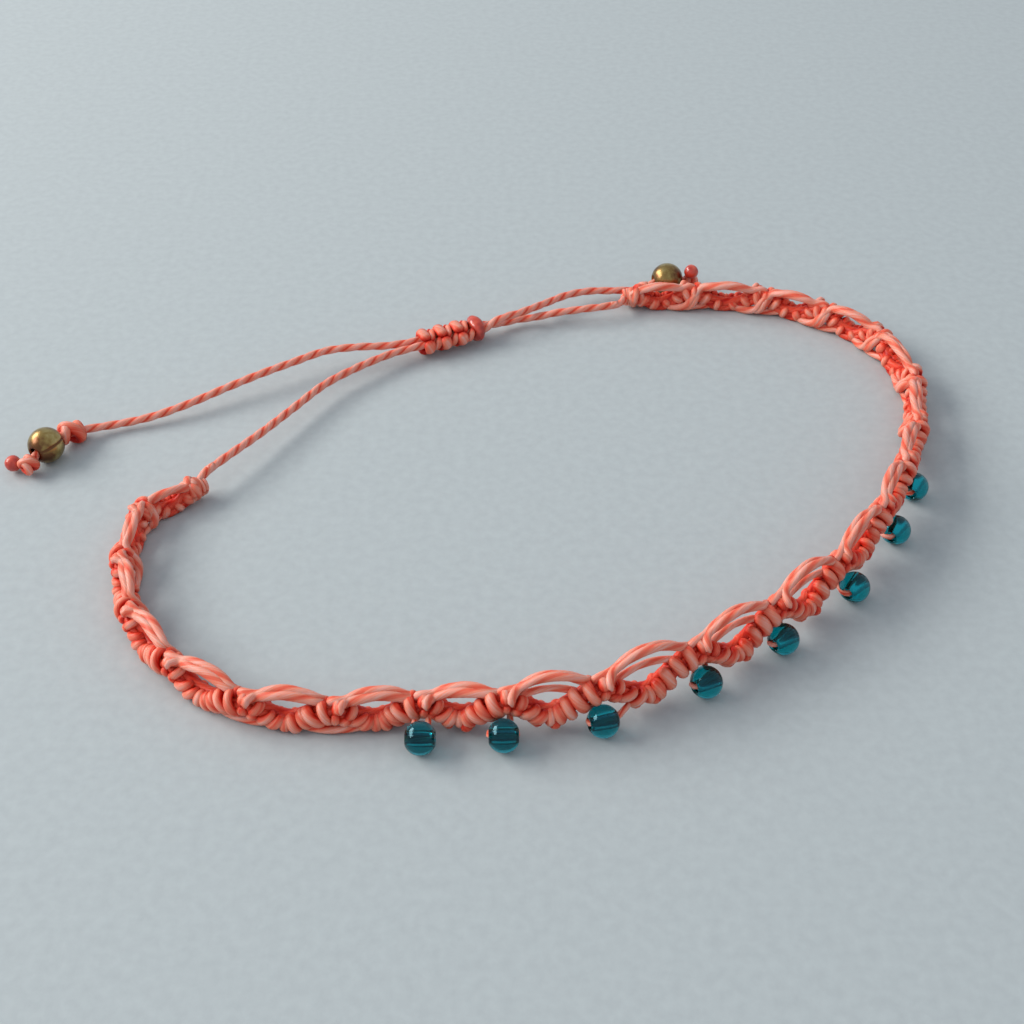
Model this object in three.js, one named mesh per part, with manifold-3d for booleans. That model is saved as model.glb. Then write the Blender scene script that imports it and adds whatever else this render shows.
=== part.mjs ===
// A macrame anklet, lying open on a flat surface. Millimetres, +Z up, origin on the surface
// under the middle of the band's box. The band's plain end is at the left and runs round the
// front to the right and the back. Two pull cords close the loop through a sliding knot.
import * as THREE from "three";
import { mergeVertices } from "three/addons/utils/BufferGeometryUtils.js";
import Module from "manifold-3d";

const wasm = await Module();
wasm.setup();

// Driving dimensions
const CORD = 0.9; // diameter of every cord
const GAP = 0.3; // clearance between pieces that touch
const GLASS_BEAD = 3.15; // diameter
const BRONZE_BEAD = 4.0; // diameter
const BORE = CORD + 2 * GAP; // hole through a bead or knot
const CORD_SIDES = 8;
const CORD_STEP = 2.4; // length of one straight stretch of a pull cord
const TURN = 2 * Math.PI;

// The band hangs together as a wave of hitches: high where two units pinch together, low in the
// middle of a unit. One row per pinch, from the left end to the right end.
// x, y: the band's middle. lift: clear height under the low points. arch: height of the arch over
// the unit that follows. lean: how far the band's top stands outside its foot. under: how far the
// strand under the pinch stands outside the band's middle.
const PINCHES = [
  { x: -37.6, y: -1.4, lift: 0.0, arch: 3.4, lean: 0.4, under: -0.4 },
  { x: -42.7, y: -5.8, lift: 0.0, arch: 4.0, lean: 0.8, under: -0.8 },
  { x: -43.2, y: -13.8, lift: 0.0, arch: 4.2, lean: 1.0, under: -0.9 },
  { x: -40.9, y: -21.5, lift: 0.0, arch: 4.2, lean: 0.8, under: -0.8 },
  { x: -35.9, y: -28.3, lift: 0.0, arch: 4.2, lean: 0.4, under: -0.4 },
  { x: -28.4, y: -33.3, lift: 0.0, arch: 4.2, lean: 0.0, under: 0.3 },
  { x: -20.0, y: -34.3, lift: 0.0, arch: 4.0, lean: -0.2, under: 0.6 },
  { x: -12.1, y: -33.8, lift: 0.2, arch: 4.1, lean: -0.3, under: 0.6 },
  { x: -4.5, y: -34.4, lift: 0.9, arch: 5.5, lean: -0.4, under: 0.6 },
  { x: 4.1, y: -33.4, lift: 1.0, arch: 6.1, lean: -0.4, under: 0.6 },
  { x: 13.2, y: -29.1, lift: 1.2, arch: 5.8, lean: -0.4, under: 0.6 },
  { x: 21.4, y: -23.3, lift: 1.1, arch: 6.3, lean: -0.4, under: 0.6 },
  { x: 28.5, y: -16.8, lift: 1.2, arch: 5.3, lean: 0.6, under: 0.6 },
  { x: 34.4, y: -8.8, lift: 1.9, arch: 4.6, lean: 1.0, under: 0.6 },
  { x: 38.2, y: -1.3, lift: 2.0, arch: 4.4, lean: 1.0, under: 0.4 },
  { x: 41.6, y: 7.8, lift: 0.6, arch: 4.4, lean: 1.0, under: -0.6 },
  { x: 43.3, y: 17.7, lift: 0.0, arch: 4.4, lean: 1.0, under: -0.8 },
  { x: 40.8, y: 27.0, lift: 0.0, arch: 4.2, lean: 1.0, under: -0.9 },
  { x: 35.1, y: 32.8, lift: 0.0, arch: 4.0, lean: 0.8, under: -0.9 },
  { x: 27.8, y: 36.3, lift: 0.0, arch: 4.1, lean: 0.6, under: -0.8 },
  { x: 18.8, y: 37.2, lift: 0.0, arch: 3.9, lean: 0.4, under: -0.7 },
  { x: 11.3, y: 36.9, lift: 0.0, arch: 3.4, lean: 0.2, under: -0.4 },
];
const UNITS = PINCHES.length - 1;

// One row per glass bead: the pinch that it hangs under, how far it sits past the pinch as a
// share of a unit, how far its middle stands outside the band's middle, and, where its strand
// trails on to the right, how far as a share of a unit.
const GLASS_BEADS = [
  { pinch: 7, past: 0.03, out: 3.2 },
  { pinch: 8, past: 0.0, out: 2.2 },
  { pinch: 9, past: 0.0, out: 1.5, trail: 0.38 },
  { pinch: 10, past: 0.05, out: 1.3 },
  { pinch: 11, past: 0.0, out: 1.3 },
  { pinch: 12, past: 0.1, out: 1.9 },
  { pinch: 13, past: 0.14, out: 1.85 },
  { pinch: 14, past: 0.06, out: 1.7 },
];

// The knotted core: half its thickness from the inside of the loop to the outside, and half its
// height at a low point and at a pinch. It climbs to a pinch by a share of the arch's height over
// the lowest arch.
const CORE_HALF_THICKNESS = 1.2;
const CORE_HALF_HEIGHT_LOW = 1.0;
const CORE_HALF_HEIGHT_PINCH = 1.25;
const CORE_SIDES = 8;
const HITCHES_PER_UNIT = 4;
const HITCH_RELIEF = 0.86; // radius between two hitches, as a share of the radius on a hitch
const CLIMB = { share: 0.55, lowestArch: 1.7 };
const SLOPE_STEP = 0.01; // share of a unit over which the core's slope is measured

// The arches over each unit. They run behind the core, towards the inside of the loop, from one
// share of the unit to another. In a tall unit a second arch stands inside the first: its foot
// and top are shares of the first one's height.
const ARCH_OUT = -0.7;
const ARCH_FOOT_OUT = -0.3;
const ARCH_ROUNDNESS = 0.8; // below 1 the arch is fuller than a sine wave
const OUTER_ARCH = { diameter: 1.2, from: 0.02, to: 0.98, foot: 0.3 }; // two cords side by side
const INNER_ARCH = { from: 0.16, to: 0.84, foot: 0.45, top: 0.62 };
const TALL_UNIT = 5.2; // arch height of the lowest tall unit
const STRAND_SIDES = 6;
const ARCH_STEPS = 5;
const ROUTE_SPANS = 4; // spans between the points that an arch or a lower strand is drawn through

// The strand under a pinch: how far it reaches to each side as a share of a unit, and how much
// higher its ends are. Where it carries a bead, its ends lie in the core, at out and down from
// the core's middle, and it is straight for a little beyond the bead.
const LOWER_STRAND = { reach: 0.42, rise: 0.5, steps: 5 };
const BEAD_STRAND = { reach: 0.31, out: 0.3, down: 0.35, straight: 0.35, steps: 9 };
const END_LUMP = { width: 2.9, height: 2.7, sides: 10, rings: 7 };
const SOLE = 0.2; // depth that the underside is worn flat where the band rests
const BELOW = { size: 200, depth: 10 }; // block that cuts the underside flat
const GLASS_BEAD_SIDES = 12;
const BEAD_ARC_STEPS = 7; // steps from one rim of a glass bead's hole to the other, over its outside

// The sliding knot: three square knots round the two pull cords, with its melted end beside it
const SLIDER = { x: -12.35, y: 27.4, z: 1.7, heading: 0.445 };
const SLIDER_LENGTH = 6.8;
const SLIDER_WIDTH = 3.9;
const SLIDER_HEIGHT = 3.1;
const SLIDER_SIDES = 12;
const SQUARE_KNOTS = 3;
const MELTED_BALL = 2.1; // length along the cords
const BALL_GAP = 0.2;

// What is on each free end, by its distance back from the cord's end, and the melted tips. The
// rear bead's first knot is pulled tighter than the left one.
const BEAD_KNOTS = {
  left: { length: 3.2, width: 2.7, back: 7.3 },
  rear: { length: 2.4, width: 1.9, back: 6.9 },
};
const BRONZE_BEAD_BACK = 3.5;
const END_KNOT = { length: 1.9, width: 2.2, back: 0.35 };
const KNOT_RIBS = 3;
const KNOT_RELIEF = 0.1;
const KNOT_SIDES = 10;
const BRONZE_BEAD_SIDES = 14;
const BALL_RINGS = 8;
const BORE_END_RINGS = 6;
const MELTED_TIP = 1.8; // diameter
const LEFT_TIP = [-58.55, 3.4, 1.1];
const REAR_TIP = [19.1, 40.0, 3.3];

// Middle lines of the two pull cords, from the band's end to the free end
const LEFT_CORD_ROUTE = [
  [-36.5, 0.3, 2.6],
  [-34.6, 3.1, 2.5],
  [-31.7, 7.5, 2.2],
  [-28.6, 12.5, 2.0],
  [-25.4, 17.4, 1.9],
  [-21.8, 21.0, 1.8],
  [-18.1, 23.9, 1.7],
  [-15.3, 25.3, 1.7],
  [-12.1, 26.8, 1.7],
  [-9.4, 28.1, 1.7],
  [-7.0, 29.2, 1.8],
  [-5.6, 30.1, 2.4],
  [-4.2, 30.9, 2.5],
  [-2.9, 31.7, 2.4],
  [-1.5, 32.8, 2.3],
  [0.6, 34.9, 1.9],
  [3.4, 37.1, 1.7],
  [6.2, 38.3, 1.5],
  [9.4, 38.9, 1.2],
  [12.4, 39.4, 1.1],
  [16.2, 40.45, 2.0],
  [19.5, 40.8, 1.2],
];
const RIGHT_CORD_ROUTE = [
  [9.5, 34.7, 1.8],
  [7.5, 34.1, 1.8],
  [5.6, 33.7, 1.8],
  [3.7, 33.4, 1.7],
  [1.9, 33.1, 1.6],
  [0.2, 32.9, 1.3],
  [-1.5, 32.8, 1.0],
  [-2.9, 32.5, 1.0],
  [-4.4, 31.9, 1.0],
  [-5.9, 31.1, 1.2],
  [-7.6, 30.4, 1.6],
  [-9.9, 29.2, 1.7],
  [-12.6, 28.0, 1.7],
  [-15.9, 26.4, 1.7],
  [-18.8, 25.3, 1.9],
  [-22.1, 24.6, 2.2],
  [-25.9, 23.6, 2.3],
  [-29.5, 21.3, 2.3],
  [-33.1, 19.0, 2.2],
  [-36.6, 16.8, 1.9],
  [-41.5, 13.7, 1.4],
  [-45.4, 11.9, 1.0],
  [-48.8, 10.8, 0.9],
  [-51.6, 9.7, 1.1],
  [-53.5, 8.3, 1.5],
  [-55.3, 5.4, 2.0],
  [-56.8, 2.5, 1.3],
];

const COLOURS = {
  coral: { color: 0xe8806e, roughness: 0.6, metalness: 0.0 },
  melted: { color: 0xc84a3a, roughness: 0.3, metalness: 0.0 },
  glass: { color: 0x0b6a73, roughness: 0.08, metalness: 0.0 },
  bronze: { color: 0x8a7436, roughness: 0.35, metalness: 0.9 },
};

// Solids: from a geometry to a solid that can be joined or cut, and back
function toSolid(geometry) {
  const bare = geometry.clone();
  bare.deleteAttribute("normal");
  bare.deleteAttribute("uv");
  const merged = mergeVertices(bare, 1e-4);
  return new wasm.Manifold(
    new wasm.Mesh({
      numProp: 3,
      vertProperties: merged.attributes.position.array,
      triVerts: new Uint32Array(merged.index.array),
    }),
  );
}

function toGeometry(solid) {
  const mesh = solid.getMesh();
  const geometry = new THREE.BufferGeometry();
  geometry.setAttribute("position", new THREE.BufferAttribute(mesh.vertProperties, 3));
  geometry.setIndex(new THREE.BufferAttribute(mesh.triVerts, 1));
  geometry.computeVertexNormals();
  return geometry;
}

function round(radius, sides) {
  const points = [];
  for (let i = 0; i < sides; i++) {
    const angle = (TURN * (i + 0.5)) / sides;
    points.push(new THREE.Vector2(radius * Math.cos(angle), radius * Math.sin(angle)));
  }
  return new THREE.Shape(points);
}

function tube(curve, diameter, sides, steps) {
  return new THREE.ExtrudeGeometry(round(diameter / 2, sides), {
    steps,
    extrudePath: curve,
    bevelEnabled: false,
  });
}

// The band's own coordinates: u counts the pinches from the left end, out is the distance
// outwards from the middle of the loop, z the height.
const centreLine = new THREE.CatmullRomCurve3(
  PINCHES.map(({ x, y, lift }) => new THREE.Vector3(x, y, lift)),
  false,
  "catmullrom",
  0.5,
);

function onCentreLine(u) {
  const t = Math.min(Math.max(u / UNITS, 0), 1);
  const along = centreLine.getTangent(t).setZ(0).normalize();
  return { point: centreLine.getPoint(t), along };
}

// A column of the table at u, blended evenly between its rows
function column(name, u) {
  const left = Math.min(Math.max(Math.floor(u), 0), UNITS - 1);
  const share = Math.min(Math.max(u - left, 0), 1);
  return THREE.MathUtils.lerp(PINCHES[left][name], PINCHES[left + 1][name], share);
}

function bandPoint(u, out, z) {
  const { point, along } = onCentreLine(u);
  const share = (z - point.z) / archAt(u) - 0.5;
  const outside = out + column("lean", u) * share;
  return new THREE.Vector3(point.x + outside * along.y, point.y - outside * along.x, z);
}

function liftAt(u) {
  return onCentreLine(u).point.z;
}

// Height of the arch at u: each unit's own height in its middle, blended towards its neighbours
function archAt(u) {
  const left = Math.min(Math.max(Math.floor(u - 0.5), 0), UNITS - 1);
  const right = Math.min(left + 1, UNITS - 1);
  const share = Math.min(Math.max(u - 0.5 - left, 0), 1);
  return THREE.MathUtils.lerp(PINCHES[left].arch, PINCHES[right].arch, share);
}

// 1 at a pinch, 0 at a low point
function pinchShare(u) {
  return 0.5 + 0.5 * Math.cos(TURN * u);
}

// How far the core climbs from a low point to a pinch: more under a tall arch
function climbAt(u) {
  return CLIMB.share * (archAt(u) - CLIMB.lowestArch);
}

function coreHeight(u) {
  return liftAt(u) + CORE_HALF_HEIGHT_LOW - SOLE + climbAt(u) * pinchShare(u);
}

function unitLength(u) {
  const left = Math.min(Math.max(Math.floor(u), 0), UNITS - 1);
  const a = PINCHES[left];
  const b = PINCHES[left + 1];
  return Math.hypot(b.x - a.x, b.y - a.y);
}

// The core is turned as a straight row of bulges, one a hitch, then bent along the wave
function knottedCore() {
  const rings = UNITS * HITCHES_PER_UNIT * 2;
  const profile = [new THREE.Vector2(0, 0)];
  for (let i = 0; i <= rings; i++) {
    const relief = i % 2 === 0 ? 1 : HITCH_RELIEF;
    profile.push(new THREE.Vector2(relief, (UNITS * i) / rings));
  }
  profile.push(new THREE.Vector2(0, UNITS));
  const geometry = new THREE.LatheGeometry(profile, CORE_SIDES);
  geometry.rotateY(TURN / (2 * CORE_SIDES));
  const position = geometry.attributes.position;
  for (let i = 0; i < position.count; i++) {
    const u = position.getY(i);
    const halfHeight = THREE.MathUtils.lerp(
      CORE_HALF_HEIGHT_LOW,
      CORE_HALF_HEIGHT_PINCH,
      pinchShare(u),
    );
    const up = position.getZ(i) * halfHeight;
    const out = position.getX(i) * CORE_HALF_THICKNESS;
    const rise = coreHeight(u + SLOPE_STEP) - coreHeight(u - SLOPE_STEP);
    const slope = Math.atan(rise / (2 * SLOPE_STEP * unitLength(u)));
    const shift = (up * Math.sin(slope)) / unitLength(u);
    const p = bandPoint(u - shift, out, coreHeight(u) + up * Math.cos(slope));
    position.setXYZ(i, p.x, p.y, p.z);
  }
  return toSolid(geometry);
}

// A strand of the band through points given in the band's own coordinates
function strand(rows, diameter, steps) {
  const curve = new THREE.CatmullRomCurve3(rows.map(([u, out, z]) => bandPoint(u, out, z)));
  return toSolid(tube(curve, diameter, STRAND_SIDES, steps));
}

// An arch over a unit, between two shares of its length, with feet at two heights
function arch(unit, { from, to }, footLeft, footRight, top, diameter) {
  const rows = [];
  for (let i = 0; i <= ROUTE_SPANS; i++) {
    const share = i / ROUTE_SPANS;
    const bulge = Math.sin(Math.PI * share) ** ARCH_ROUNDNESS;
    const foot = THREE.MathUtils.lerp(footLeft, footRight, share);
    const z = foot + (top - (footLeft + footRight) / 2) * bulge;
    const out = THREE.MathUtils.lerp(ARCH_FOOT_OUT, ARCH_OUT, bulge);
    rows.push([unit + THREE.MathUtils.lerp(from, to, share), out, z]);
  }
  return strand(rows, diameter, ARCH_STEPS);
}

function outerArch(unit) {
  const { diameter, foot } = OUTER_ARCH;
  const top = liftAt(unit + 0.5) + PINCHES[unit].arch - diameter / 2;
  return arch(unit, OUTER_ARCH, coreHeight(unit) + foot, coreHeight(unit + 1) + foot, top, diameter);
}

function innerArch(unit) {
  const base = liftAt(unit + 0.5);
  const foot = base + INNER_ARCH.foot * PINCHES[unit].arch;
  const top = base + INNER_ARCH.top * PINCHES[unit].arch;
  return arch(unit, INNER_ARCH, foot, foot, top, CORD);
}

// The strand under a pinch, from one low point to the next, in a shallow arc near the surface
function lowerStrand(pinch) {
  const { reach, rise, steps } = LOWER_STRAND;
  const { under } = PINCHES[pinch];
  const rows = [];
  for (let i = 0; i <= ROUTE_SPANS; i++) {
    const share = i / ROUTE_SPANS;
    const dip = Math.sin(Math.PI * share);
    const z = liftAt(pinch) + CORD / 2 + rise * (1 - dip);
    rows.push([pinch + reach * (2 * share - 1), (under * (1 + dip)) / 2, z]);
  }
  return strand(rows, CORD, steps);
}

function beadPlace({ pinch, past, out }) {
  const u = pinch + past;
  const { along } = onCentreLine(u);
  return { middle: bandPoint(u, out, GLASS_BEAD / 2), along };
}

// The same strand where it carries a bead: it swings out and runs straight through the hole
function beadStrand({ pinch, past, out, trail = BEAD_STRAND.reach }) {
  const u = pinch + past;
  const half = (GLASS_BEAD / 2 + BEAD_STRAND.straight) / unitLength(u);
  const end = (at) => [at, BEAD_STRAND.out, coreHeight(at) - BEAD_STRAND.down];
  const rows = [
    end(u - BEAD_STRAND.reach),
    [u - half, out, GLASS_BEAD / 2],
    [u, out, GLASS_BEAD / 2],
    [u + half, out, GLASS_BEAD / 2],
    end(u + trail),
  ];
  return strand(rows, CORD, BEAD_STRAND.steps);
}

// The rounded lump that closes each end of the band
function endLump(u) {
  const { width, height, sides, rings } = END_LUMP;
  const lump = new THREE.SphereGeometry(0.5, sides, rings).scale(width, width, height);
  const p = bandPoint(u, 0, height / 2 - SOLE);
  return toSolid(lump.translate(p.x, p.y, p.z));
}

function bandSolid() {
  const beadPinches = new Set(GLASS_BEADS.map(({ pinch }) => pinch));
  let band = knottedCore();
  for (let unit = 0; unit < UNITS; unit++) {
    band = band.add(outerArch(unit));
    if (PINCHES[unit].arch > TALL_UNIT) band = band.add(innerArch(unit));
  }
  for (let pinch = 1; pinch < UNITS; pinch++) {
    if (!beadPinches.has(pinch)) band = band.add(lowerStrand(pinch));
  }
  for (const bead of GLASS_BEADS) band = band.add(beadStrand(bead));
  band = band.add(endLump(0)).add(endLump(UNITS));
  const { size, depth } = BELOW;
  const below = new THREE.BoxGeometry(size, size, depth).translate(0, 0, -depth / 2);
  return band.subtract(toSolid(below));
}

// Pieces that are turned round an axis lie along +Y until they are placed.
// A bead with a straight hole, as a closed ring
function drilledBead(diameter, sides) {
  const radius = diameter / 2;
  const start = Math.acos(BORE / 2 / radius);
  const profile = [];
  for (let i = 0; i <= BEAD_ARC_STEPS; i++) {
    const angle = -start + (2 * start * i) / BEAD_ARC_STEPS;
    profile.push(new THREE.Vector2(radius * Math.cos(angle), radius * Math.sin(angle)));
  }
  profile.push(profile[0].clone());
  return new THREE.LatheGeometry(profile, sides);
}

function ball(length, width, height, sides) {
  const geometry = new THREE.SphereGeometry(0.5, sides, BALL_RINGS);
  return geometry.scale(width, length, height);
}

// Soft ribs wound once round a knot, as an overhand knot shows
function ribbed(geometry, relief) {
  const position = geometry.attributes.position;
  geometry.computeBoundingBox();
  const halfLength = geometry.boundingBox.max.y;
  for (let i = 0; i < position.count; i++) {
    const [x, y, z] = [position.getX(i), position.getY(i), position.getZ(i)];
    const radius = Math.hypot(x, z);
    if (radius < relief) continue;
    const wave = Math.cos(KNOT_RIBS * Math.atan2(z, x) + (Math.PI * y) / halfLength);
    const scale = 1 + (relief * wave) / radius;
    position.setXYZ(i, x * scale, y, z * scale);
  }
  return geometry;
}

// The sliding knot: a row of bulges, two for each square knot, wider than it is high
function sliderBody() {
  const bulges = 2 * SQUARE_KNOTS;
  const profile = [new THREE.Vector2(0, -SLIDER_LENGTH / 2)];
  for (let i = 0; i <= 2 * bulges; i++) {
    const relief = i % 2 === 0 ? HITCH_RELIEF : 1;
    profile.push(new THREE.Vector2(relief, SLIDER_LENGTH * (i / (2 * bulges) - 0.5)));
  }
  profile.push(new THREE.Vector2(0, SLIDER_LENGTH / 2));
  return new THREE.LatheGeometry(profile, SLIDER_SIDES).scale(SLIDER_WIDTH / 2, 1, SLIDER_HEIGHT / 2);
}

const group = new THREE.Group();

function addMesh(name, geometry, look) {
  const mesh = new THREE.Mesh(geometry, new THREE.MeshStandardMaterial(COLOURS[look]));
  mesh.name = name;
  group.add(mesh);
  return mesh;
}

function turnTo(object, middle, along) {
  object.position.copy(middle);
  object.quaternion.setFromUnitVectors(new THREE.Vector3(0, 1, 0), along.clone().normalize());
  return object;
}

addMesh("macrame_band", toGeometry(bandSolid()), "coral");

GLASS_BEADS.forEach((bead, i) => {
  const { middle, along } = beadPlace(bead);
  turnTo(addMesh(`glass_bead_${i + 1}`, drilledBead(GLASS_BEAD, GLASS_BEAD_SIDES), "glass"), middle, along);
});

function pullCord(name, route) {
  const curve = new THREE.CatmullRomCurve3(route.map((p) => new THREE.Vector3(...p)));
  const steps = Math.round(curve.getLength() / CORD_STEP);
  addMesh(name, tube(curve, CORD, CORD_SIDES, steps), "coral");
  const end = new THREE.SphereGeometry(BORE / 2, CORD_SIDES, BORE_END_RINGS);
  end.translate(...route.at(-1));
  const bore = toSolid(tube(curve, BORE, CORD_SIDES, steps)).add(toSolid(end));
  return { curve, bore };
}

const leftCord = pullCord("left_pull_cord", LEFT_CORD_ROUTE);
const rightCord = pullCord("right_pull_cord", RIGHT_CORD_ROUTE);

// A piece threaded on the pull cords: put in its place, then bored along both cords
function addThreaded(name, geometry, middle, along, look) {
  const place = turnTo(new THREE.Object3D(), middle, along);
  place.updateMatrix();
  const piece = toSolid(geometry.applyMatrix4(place.matrix));
  addMesh(name, toGeometry(piece.subtract(leftCord.bore).subtract(rightCord.bore)), look);
}

// Each free end carries a knot, a bronze bead, a last knot and a melted tip, in that order
function freeEnd(side, { curve }, tipPlace) {
  const onCord = (back) => {
    const share = 1 - back / curve.getLength();
    return [curve.getPointAt(share), curve.getTangentAt(share)];
  };
  const knot = ({ length, width }) => ribbed(ball(length, width, width, KNOT_SIDES), KNOT_RELIEF);
  const beadKnot = BEAD_KNOTS[side];
  addThreaded(`${side}_bead_knot`, knot(beadKnot), ...onCord(beadKnot.back), "coral");
  const bronze = ball(BRONZE_BEAD, BRONZE_BEAD, BRONZE_BEAD, BRONZE_BEAD_SIDES);
  addThreaded(`${side}_bronze_bead`, bronze, ...onCord(BRONZE_BEAD_BACK), "bronze");
  addThreaded(`${side}_end_knot`, knot(END_KNOT), ...onCord(END_KNOT.back), "coral");
  const tip = addMesh(`${side}_melted_end`, ball(MELTED_TIP, MELTED_TIP, MELTED_TIP, KNOT_SIDES), "melted");
  tip.position.set(...tipPlace);
}

freeEnd("rear", leftCord, REAR_TIP);
freeEnd("left", rightCord, LEFT_TIP);

const sliderMiddle = new THREE.Vector3(SLIDER.x, SLIDER.y, SLIDER.z);
const sliderAlong = new THREE.Vector3(Math.cos(SLIDER.heading), Math.sin(SLIDER.heading), 0);
const ballOffset = (SLIDER_LENGTH + MELTED_BALL) / 2 + BALL_GAP;
const ballMiddle = sliderMiddle.clone().addScaledVector(sliderAlong, ballOffset);
const meltedBall = ball(MELTED_BALL, SLIDER_WIDTH, SLIDER_HEIGHT, SLIDER_SIDES);
addThreaded("slider_knot", sliderBody(), sliderMiddle, sliderAlong, "coral");
addThreaded("slider_melted_end", meltedBall, ballMiddle, sliderAlong, "melted");

export default group;
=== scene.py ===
"""Looks of a macrame anklet: cords of real twisted plies, glass and bronze beads, melted ends."""

import math

import bpy
import numpy as np
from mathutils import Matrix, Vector


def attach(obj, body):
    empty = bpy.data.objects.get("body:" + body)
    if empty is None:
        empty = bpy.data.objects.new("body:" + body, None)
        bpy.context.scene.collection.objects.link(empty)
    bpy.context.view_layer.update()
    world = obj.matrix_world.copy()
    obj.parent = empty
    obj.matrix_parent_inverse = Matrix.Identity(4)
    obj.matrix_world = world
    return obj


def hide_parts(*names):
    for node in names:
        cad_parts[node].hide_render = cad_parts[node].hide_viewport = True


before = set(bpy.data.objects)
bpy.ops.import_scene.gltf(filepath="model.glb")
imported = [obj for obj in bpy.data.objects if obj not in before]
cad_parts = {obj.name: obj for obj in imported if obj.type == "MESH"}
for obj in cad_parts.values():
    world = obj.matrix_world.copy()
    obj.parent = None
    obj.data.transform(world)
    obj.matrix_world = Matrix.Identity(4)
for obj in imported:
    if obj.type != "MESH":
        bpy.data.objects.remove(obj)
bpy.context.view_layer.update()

# Lengths are in metres. Tables in millimetres are multiplied by MM. TINY keeps divisions safe.
MM = 0.001
TURN = 2 * math.pi
UP = np.array([0.0, 0.0, 1.0])
TINY = 1e-12

# Driving dimensions
CORD = 0.9 * MM
GLASS_BEAD = 3.15 * MM
GLASS_HOLE = 1.05 * MM
BRONZE_BEAD = 4.0 * MM
BRONZE_HOLE = 1.3 * MM
MELTED_TIP = 1.8 * MM

# The camera: focal length in millimetres, place, and tilt up from straight down in degrees
LENS = 54.13
CAMERA_PLACE = (-0.0037, -0.1297, 0.1058)
CAMERA_TILT = 50

# Light from a window on the left, a pale sky, and half the side of the floor
WINDOW_PLACE = (-0.68, 0.14, 0.43)
WINDOW_SIZE = (0.8, 0.34)
WINDOW_POWER = 7.6
WINDOW_COLOUR = (1.0, 0.97, 0.93)
SKY_COLOUR = (0.80, 0.87, 0.95)
SKY_STRENGTH = 0.66
FLOOR_REACH = 1.5

# The two plies of every cord: the radius in the groove between them as a share of the radius on
# a ply, how much painted shade darkens a deeper groove, the length of one whole turn in the band's
# strands and in the pull cords, and how far a cord's starting angle shifts its fibres
PLY_GROOVE = 0.8
GROOVE_SHADE = 2.4
PLY_PITCH = 7.2 * MM
PULL_CORD_PITCH = 4.2 * MM
FIBRE_SHIFT = 50

# The pull cords bulge a little past the cord's size. Their plies start at an angle in radians.
PULL_CORD_SWELL = 1.08
PULL_CORD_PHASE = 0.4

# The distance between two rings of a mesh, in pull cords, strands and carriers
PULL_CORD_STEP = 0.3 * MM
STRAND_STEP = 0.35 * MM
CARRIER_STEP = 0.4 * MM

# A cord that is tied tight: a shallower groove, and how much painted shade darkens its inner side
TIED_GROOVE = 0.88
TIED_CROWN = 0.85

# The band's middle line, one row per pinch from its left end to its right end, in millimetres:
# x, y, the clear height under the low points, the height of the arch over the unit that follows,
# how far the top stands outside the foot, and how far outside the middle the strand under the
# pinch stands
PINCHES = MM * np.array([
    (-37.6, -1.4, 0.0, 3.4, 0.4, -0.4),
    (-42.7, -5.8, 0.0, 4.0, 0.8, -0.8),
    (-43.2, -13.8, 0.0, 4.2, 1.0, -0.9),
    (-40.9, -21.5, 0.0, 4.2, 0.8, -0.8),
    (-35.9, -28.3, 0.0, 4.2, 0.4, -0.4),
    (-28.4, -33.3, 0.0, 4.2, 0.0, 0.3),
    (-20.0, -34.3, 0.0, 4.0, -0.2, 0.6),
    (-12.1, -33.8, 0.2, 4.1, -0.3, 0.6),
    (-4.5, -34.4, 0.9, 5.5, -0.4, 0.6),
    (4.1, -33.4, 1.0, 6.1, -0.4, 0.6),
    (13.2, -29.1, 1.2, 5.8, -0.4, 0.6),
    (21.4, -23.3, 1.1, 6.3, -0.4, 0.6),
    (28.5, -16.8, 1.2, 5.3, 0.6, 0.6),
    (34.4, -8.8, 1.9, 4.6, 1.0, 0.6),
    (38.2, -1.3, 2.0, 4.4, 1.0, 0.4),
    (41.6, 7.8, 0.6, 4.4, 1.0, -0.6),
    (43.3, 17.7, 0.0, 4.4, 1.0, -0.8),
    (40.8, 27.0, 0.0, 4.2, 1.0, -0.9),
    (35.1, 32.8, 0.0, 4.0, 0.8, -0.9),
    (27.8, 36.3, 0.0, 4.1, 0.6, -0.8),
    (18.8, 37.2, 0.0, 3.9, 0.4, -0.7),
    (11.3, 36.9, 0.0, 3.4, 0.2, -0.4),
])
UNITS = len(PINCHES) - 1
_, _, _, ARCHES, LEANS, UNDERS = PINCHES.T

# One row per glass bead: the pinch that it hangs under, how far past it as a share of a unit, and
# how far outside the band's middle in millimetres
GLASS_BEADS = (
    (7, 0.03, 3.2),
    (8, 0.0, 2.2),
    (9, 0.0, 1.5),
    (10, 0.05, 1.3),
    (11, 0.0, 1.3),
    (12, 0.1, 1.9),
    (13, 0.14, 1.85),
    (14, 0.06, 1.7),
)
BEAD_PINCHES = {pinch for pinch, _, _ in GLASS_BEADS}

# The strand through a glass bead: its cord, how far inside the bead's ends its straight stretch
# stops, the length over which it bends back, and, by its pinch, how far one strand trails on to
# the right instead, as a share of a unit
BEAD_CORD = 0.62 * MM
BEAD_STRAND_INSIDE = 0.38 * MM
BEAD_STRAND_BEND = 0.2 * MM
BEAD_STRAND_TRAIL = {9: 0.38}

# The wave of hitches: its core's half thickness and half height, how much of an arch it climbs to
# a pinch, the lowest arch, how far its underside is pressed flat, the height of a tall unit, the
# clear height of a hanging one, the lowest height of any cord, and the pinch between its two pieces
CORE_HALF_THICKNESS = 1.2 * MM
CORE_HALF_HEIGHT_LOW = 1.0 * MM
CLIMB_SHARE = 0.55
LOWEST_ARCH = 1.7 * MM
SOLE = 0.2 * MM
TALL_UNIT = 5.2 * MM
HANGING_LIFT = 0.5 * MM
FLOOR_CLEARANCE = 0.02 * MM
MIDDLE_PINCH = 10

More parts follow.
